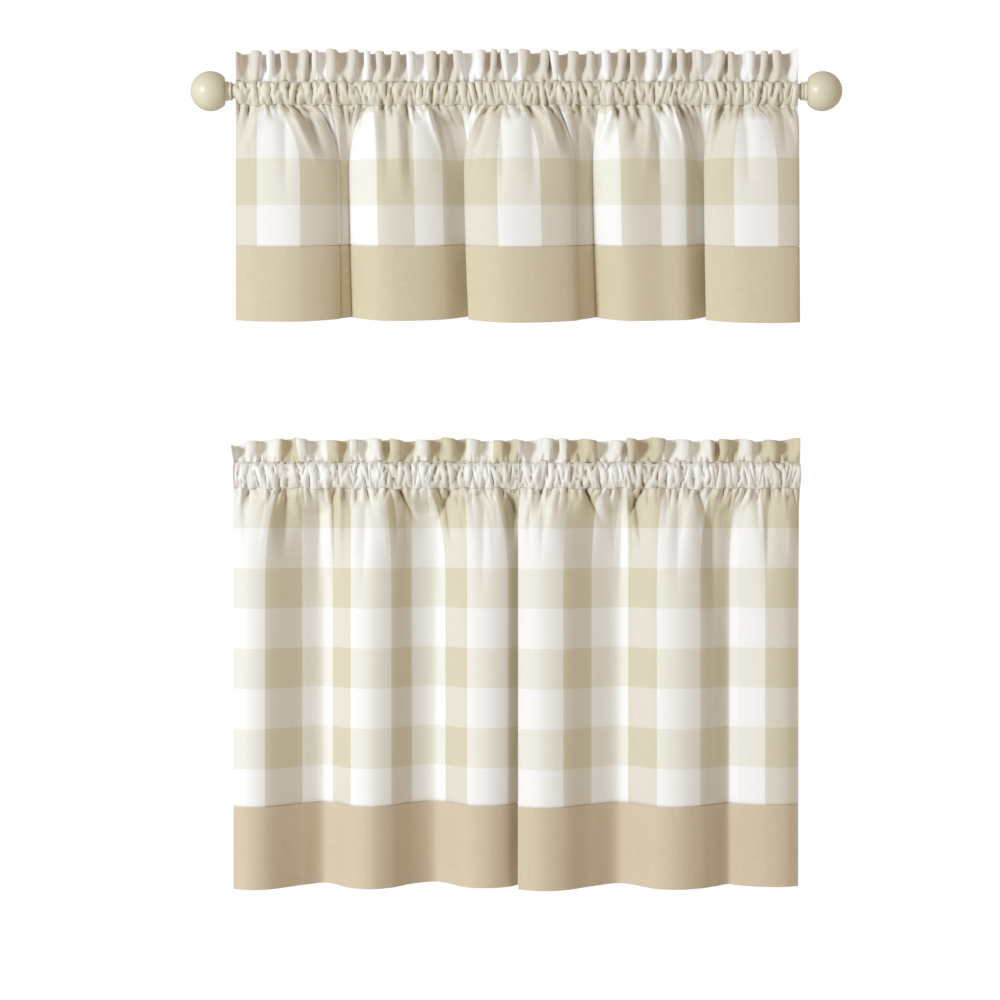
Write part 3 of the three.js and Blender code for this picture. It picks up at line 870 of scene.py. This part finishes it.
    def pocket_side(self, side, share, steps):
        """Rows of one side of the pocket from the lower stitching up: y is the reach times side."""
        stretch = (self.rod - self.lower) / (POCKET_DROP * MM)
        outline = [
            ((r["height"] * stretch if r["height"] < 0 else r["height"]) * MM, r["reach"] * MM)
            for r in POCKET_OUTLINE
        ]
        t = np.linspace(0, 1, steps + 1)
        line = smooth_line(outline, t)
        height, reach = self.rod + line[:, 0:1], line[:, 1:2]
        x = self.heading_x(share)
        puckers = self.puckers["pocket"] if side < 0 else self.pocket_back_puckers
        full = np.sin(np.pi * t)[:, None] ** 0.5
        puff = (pucker_relief(puckers, x, height) + 1.6 * MM) * full
        if side < 0:
            puff = puff + 0.5 * fold_relief(self.folds, x, height) * full
        out = np.maximum(reach + puff, 1.0 * MM)
        # The cloth goes round the rod with a little room.
        out = np.maximum(out, np.where(np.abs(height - self.rod) < 9.8 * MM, 11.2 * MM, 0.0))
        low_back, low_up = self.stitch_wave(x, 40)
        high_back, high_up = self.stitch_wave(x, 60)
        low, high = 1 - ease(0, 0.35, t)[:, None], ease(0.65, 1, t)[:, None]
        y = side * out + low_back * low + high_back * high
        z = height + low_up * low + high_up * high
        return np.stack(np.broadcast_arrays(x + 0 * height, y, z), -1)

    def ruffle_side(self, side, share, steps):
        """Rows of one layer of the ruffle from the upper stitching to just under the top fold."""
        rise = np.linspace(0, 1, steps + 1)[1:-1, None]
        x = self.heading_x(share)
        turns, strength = uneven_folds(x, self.left, self.right, self.ruffle_pitch, self.seed + 9, 0.3)
        angle = 2 * np.pi * turns
        grow = 0.14 + 0.86 * ease(-0.1, 0.8, rise)
        back, up = self.stitch_wave(x, 60)
        sway = -self.cloth.ruffle_depth * strength * np.cos(angle) * grow + back * (1 - grow)
        inside = ease(0, 0.014, np.minimum(x - self.left, self.right - x))
        over = 2.6 * MM * strength * np.sin(2 * angle) * grow**2 * inside
        slant = 3.0 * MM * np.sin(turns * 2.2 + self.seed) * rise * inside
        crown = 1.5 * MM * np.sin(share * 21 + self.seed) + 1.6 * MM * np.cos(angle + 1.1) * strength
        top = self.top - 2.5 * MM + crown
        foot = self.upper + up
        z = foot + (top - foot) * rise
        puckers = pucker_relief(self.puckers["ruffle"], x, self.upper + (self.top - self.upper) * rise)
        gap = 1.0 * MM + 1.2 * MM * np.sin(np.pi * rise) ** 0.7
        y = side * (gap + puckers * (1 if side < 0 else 0.6)) + sway
        flare = self.flare * (1 - ease(0, 0.03, x - self.left)) * rise
        return np.stack(np.broadcast_arrays(x + over + slant - flare, y, z - 2.2 * flare), -1)

    def heading_piece(self, steps, material, slot):
        share = np.linspace(0, 1, steps * len(self.checks) + 1)[None, :]
        front_steps, back_steps, ruffle_steps = 22, 9, 14
        front_pocket = self.pocket_side(-1, share, front_steps)
        back_pocket = self.pocket_side(1, share, back_steps)
        front_ruffle = self.ruffle_side(-1, share, ruffle_steps)
        back_ruffle = self.ruffle_side(1, share, ruffle_steps)
        crest = (front_ruffle[-1] + back_ruffle[-1]) / 2
        lift = (front_ruffle[-1] - front_ruffle[-2])[..., 2:3]
        fold = crest + np.concatenate([np.zeros_like(crest[..., :2]), lift], -1)
        front = [front_ruffle[::-1], front_pocket[::-1]]
        middle = np.concatenate([back_pocket, back_ruffle, fold[None], *front])
        ruffle = self.top - self.upper
        front_t, back_t = np.linspace(0, 1, front_steps + 1), np.linspace(0, 1, back_steps + 1)
        ruffle_t = np.linspace(0, 1, ruffle_steps + 1)[1:-1]
        down = np.concatenate(
            [
                -2 * ruffle - self.pocket_cloth * (1 - back_t),
                -ruffle - ruffle * (1 - ruffle_t),
                [-ruffle],
                -ruffle * ruffle_t[::-1],
                self.pocket_cloth * (1 - front_t[::-1]),
            ]
        )[:, None]
        flat = np.stack(np.broadcast_arrays(self.flat_across(share), self.row_shift + down), -1)
        name = f"{self.name}_heading"
        # The front faces -Y, so its creases lie toward +Y. Painted crease shade: none on the back and the top
        # fold, and a tenth of it on the ruffle's front, which is too open to crease much.
        crease_shade_share = crease_shade_mask(middle[..., 1], 3)
        crease_shade_share[: back_steps + ruffle_steps + 1] = 0
        crease_shade_share[back_steps + ruffle_steps + 1 : -front_steps - 1] *= 0.1
        mesh = sheet_mesh(name, middle, flat, self.cloth.thickness, crease_shade_share)
        made = new_piece(f"{name}_cloth", mesh, material, name)
        return made, float(down.max() - down.min())


def curtains(settings):
    for name in CURTAINS:
        yield Curtain(name, settings.valance if name == "valance" else settings.tiers, settings.cloth)


def check_material(settings, curtain):
    name = f"yarn-dyed cotton check, {curtain.kind}"
    evened, ruffle_shade = POCKET_TONES[curtain.kind]
    pocket = (curtain.row_shift, curtain.row_shift + curtain.pocket_cloth)
    made = bpy.data.materials.get(name)
    return made or yarn_dyed_check(name, curtain.check, settings.cloth, pocket, evened, ruffle_shade)


# ---- Operators -------------------------------------------------------------------------------------


class CURTAINSET_OT_stage(bpy.types.Operator):
    """Make the camera, the floor and the soft studio light"""

    bl_idname = "curtainset.stage"
    bl_label = "Stage"

    def execute(self, context):
        scene, stage = context.scene, context.scene.curtain_set.stage
        scene.view_settings.view_transform = "Standard"
        low, high = CAD_BOX
        target = Vector((AIM_RIGHT, 0.0, (low.z + high.z) / 2 + AIM_UP))
        camera = bpy.data.objects.new("camera", bpy.data.cameras.new("camera"))
        camera.data.lens = stage.lens
        camera.location = target + Vector((0, -stage.distance, 0))
        camera.rotation_euler = (math.pi / 2, 0, 0)
        scene.collection.objects.link(camera)
        scene.camera = camera

        sides, reach = 96, 3.5
        turns = [2 * math.pi * k / sides for k in range(sides)]
        ring = [(reach * math.cos(turn), reach * math.sin(turn), stage.floor_height) for turn in turns]
        mesh = bpy.data.meshes.new("floor")
        mesh.from_pydata(ring, [], [tuple(range(sides))])
        floor = bpy.data.objects.new("floor", mesh)
        mesh.materials.append(matt_floor_paint())
        scene.collection.objects.link(floor)

        key = bpy.data.objects.new("key light", bpy.data.lights.new("key light", "AREA"))
        key.data.shape, key.data.size, key.data.energy = "DISK", KEY_SIZE, stage.key_power
        key.data.color = stage.key_colour
        key.visible_camera = False
        key.location = target + Vector(KEY_OFFSET)
        key.rotation_euler = (target - key.location).to_track_quat("-Z", "Y").to_euler()
        scene.collection.objects.link(key)

        # The light all around is soft; what is seen directly behind the set is a plain white wall of light.
        world = bpy.data.worlds.new("studio")
        world.use_nodes = True
        tree = world.node_tree
        tree.nodes.clear()
        path = add_node(tree, "ShaderNodeLightPath", {})
        fill, white = rgba(stage.fill_colour), rgba(linear("#ffffff"))
        around = add_node(tree, "ShaderNodeBackground", {}, Color=fill, Strength=stage.fill)
        seen = add_node(tree, "ShaderNodeBackground", {}, Color=white, Strength=BACKDROP)
        mixed = add_node(tree, "ShaderNodeMixShader", {}, path.outputs["Is Camera Ray"], around, seen)
        add_node(tree, "ShaderNodeOutputWorld", {}, Surface=mixed)
        scene.world = world
        return {"FINISHED"}


class CURTAINSET_OT_rod(bpy.types.Operator):
    """Make the round rod that the valance hangs from"""

    bl_idname = "curtainset.rod"
    bl_label = "Rod"

    def execute(self, context):
        rod = context.scene.curtain_set.rod
        low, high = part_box("rod")
        length, radius = high[0] - low[0], (high[2] - low[2]) / 2
        round_off = 0.8 * MM
        profile = [(0, radius - round_off), (round_off * 0.3, radius - round_off * 0.3), (round_off, radius)]
        profile += [(length - along, r) for along, r in reversed(profile)]
        mesh = turned_mesh("rod", profile, rod.sides, low[0], 1)
        material = sprayed_cream_enamel("sprayed cream enamel, rod", rod.paint, 0.42)
        new_piece("rod_tube", mesh, material, "rod")
        return {"FINISHED"}


class CURTAINSET_OT_finials(bpy.types.Operator):
    """Make the two ball finials with their ribbed collars"""

    bl_idname = "curtainset.finials"
    bl_label = "Ball finials"

    def execute(self, context):
        rod = context.scene.curtain_set.rod
        material = sprayed_cream_enamel("sprayed cream enamel, finials", rod.paint, 0.38)
        for side, name in ((-1, "finial_left"), (1, "finial_right")):
            low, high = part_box(name)
            start = low[0] if side > 0 else high[0]
            length = high[0] - low[0]
            radius = (high[2] - low[2]) / 2
            profile = [(row["along"] * MM, row["radius"] * MM) for row in COLLAR_PROFILE]
            centre = length - radius
            first = math.acos(BALL_FLAT)
            for k in range(1, BALL_STEPS + 1):
                angle = first + (math.pi - BALL_POLE - first) * k / BALL_STEPS
                profile.append((centre - radius * math.cos(angle), radius * math.sin(angle)))
            mesh = turned_mesh(name, profile, rod.sides, start, side)
            new_piece(f"{name}_turned", mesh, material, name)
        return {"FINISHED"}


class CURTAINSET_OT_headings(bpy.types.Operator):
    """Make the three headings: a doubled ruffle above a gathered rod pocket"""

    bl_idname = "curtainset.headings"
    bl_label = "Headings"

    def execute(self, context):
        settings = context.scene.curtain_set
        for curtain in curtains(settings):
            material = check_material(settings, curtain)
            made, length = curtain.heading_piece(HEADING_STEPS[curtain.kind], material, "check_cloth")
        return {"FINISHED"}


class CURTAINSET_OT_panels(bpy.types.Operator):
    """Make the three panels of checked cloth"""

    bl_idname = "curtainset.panels"
    bl_label = "Panels"

    def execute(self, context):
        settings = context.scene.curtain_set
        for curtain in curtains(settings):
            steps, rows = PANEL_STEPS[curtain.kind]
            top, bottom = curtain.lower - SEAM_DROP, curtain.band_top
            material = check_material(settings, curtain)
            made = curtain.hanging_piece("panel", top, bottom, steps, rows, material, "check_cloth")
        return {"FINISHED"}


class CURTAINSET_OT_bands(bpy.types.Operator):
    """Make the plain band along the lower edge of each curtain"""

    bl_idname = "curtainset.bands"
    bl_label = "Bands"

    def execute(self, context):
        settings = context.scene.curtain_set
        for curtain in curtains(settings):
            name = f"heathered cotton canvas, {curtain.kind} band"
            band = getattr(settings.cloth, f"{curtain.kind}_band")
            material = bpy.data.materials.get(name) or heathered_band(name, band, settings.cloth)
            steps, rows = BAND_STEPS[curtain.kind]
            top, bottom = curtain.band_top - SEAM_DROP, curtain.hem
            made = curtain.hanging_piece("band", top, bottom, steps, rows, material, "band_cloth")
        return {"FINISHED"}


class CURTAINSET_PT_sidebar(bpy.types.Panel):
    """Sizes, colours and the steps that build the set"""

    bl_label = "Valance and Tier Curtain Set"
    bl_space_type = "VIEW_3D"
    bl_region_type = "UI"
    bl_category = "Curtains"

    def draw(self, context):
        settings = context.scene.curtain_set
        for title, group in (
            ("Valance", settings.valance),
            ("Tiers", settings.tiers),
            ("Cloth", settings.cloth),
            ("Rod", settings.rod),
            ("Stage", settings.stage),
        ):
            box = self.layout.box()
            box.label(text=title)
            for key in group.__annotations__:
                box.prop(group, key)
        for operator in OPERATORS:
            self.layout.operator(operator.bl_idname)


GROUPS = (ValanceSettings, TierSettings, ClothSettings, RodSettings, StageSettings, CurtainSetSettings)
OPERATORS = (
    CURTAINSET_OT_stage,
    CURTAINSET_OT_rod,
    CURTAINSET_OT_finials,
    CURTAINSET_OT_headings,
    CURTAINSET_OT_panels,
    CURTAINSET_OT_bands,
)


def register():
    for cls in (*GROUPS, *OPERATORS, CURTAINSET_PT_sidebar):
        bpy.utils.register_class(cls)
    bpy.types.Scene.curtain_set = PointerProperty(
        type=CurtainSetSettings, name="Curtain set", description="Sizes and colours of the curtain set"
    )


def unregister():
    del bpy.types.Scene.curtain_set
    for cls in reversed((*GROUPS, *OPERATORS, CURTAINSET_PT_sidebar)):
        bpy.utils.unregister_class(cls)


def main():
    register()
    bpy.ops.curtainset.stage()
    bpy.ops.curtainset.rod()
    bpy.ops.curtainset.finials()
    bpy.ops.curtainset.headings()
    bpy.ops.curtainset.panels()
    bpy.ops.curtainset.bands()


if __name__ == "__main__":
    main()
